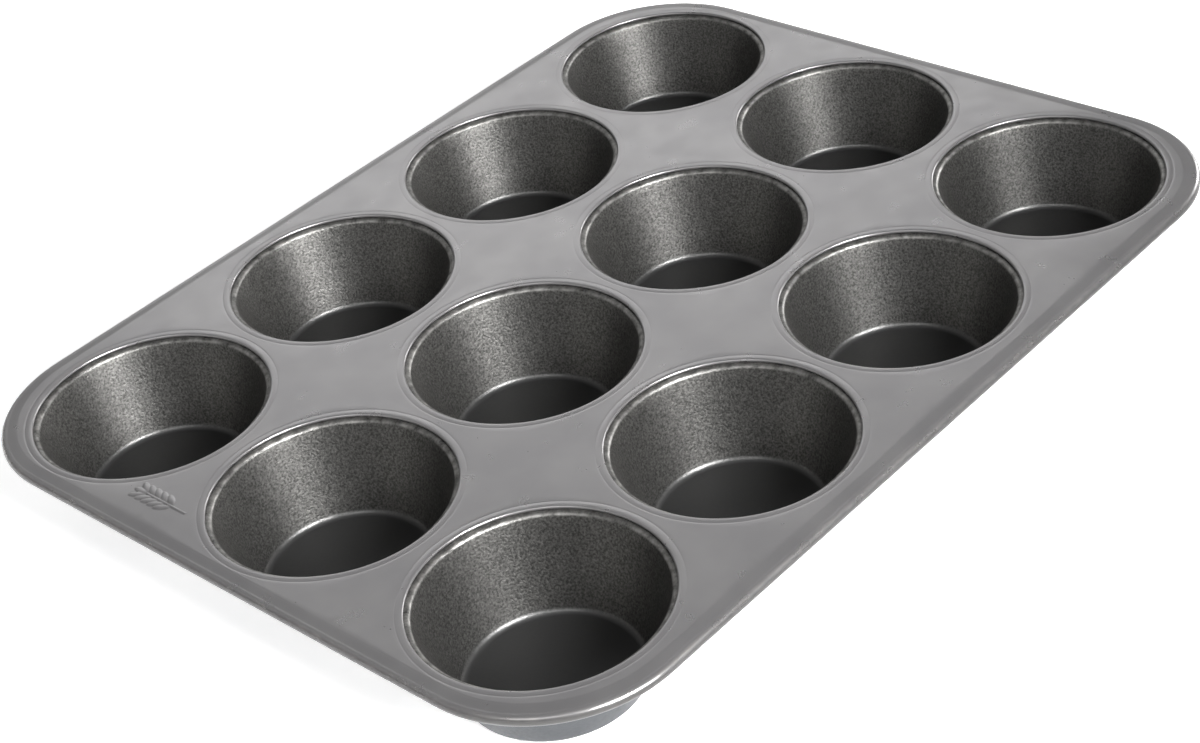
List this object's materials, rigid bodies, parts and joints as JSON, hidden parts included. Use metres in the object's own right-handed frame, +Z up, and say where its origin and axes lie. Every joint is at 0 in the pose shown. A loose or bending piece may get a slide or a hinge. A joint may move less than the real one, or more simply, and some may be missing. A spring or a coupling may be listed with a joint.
{
  "type": "muffin tin",
  "caption": "Rectangular coated-steel muffin tin: round tapered cups crimped in a grid into a flat deck whose rounded-corner edge is rolled round a wire.",
  "frame": {"origin": "on the plane the cups stand on, below the middle of the deck", "axes": "+X along the long side, the line of four cups; +Y along the short side, the line of three; +Z up out of the cups"},
  "size_m": [0.3522, 0.2738, 0.0312],
  "materials": {
    "deck_coating": "satin grey non-stick coating",
    "cup_coating": "fine-grained dark grey non-stick coating with a metallic glint",
    "plain_steel": "plain drawn wire"
  },
  "bodies": {
    "root": {"deck": "deck_coating", "rim_wire": "plain_steel", "cup_a1": "cup_coating", "cup_a2": "cup_coating", "cup_a3": "cup_coating", "cup_a4": "cup_coating", "cup_b1": "cup_coating", "cup_b2": "cup_coating", "cup_b3": "cup_coating", "cup_b4": "cup_coating", "cup_c1": "cup_coating", "cup_c2": "cup_coating", "cup_c3": "cup_coating", "cup_c4": "cup_coating"}
  },
  "joints": []
}
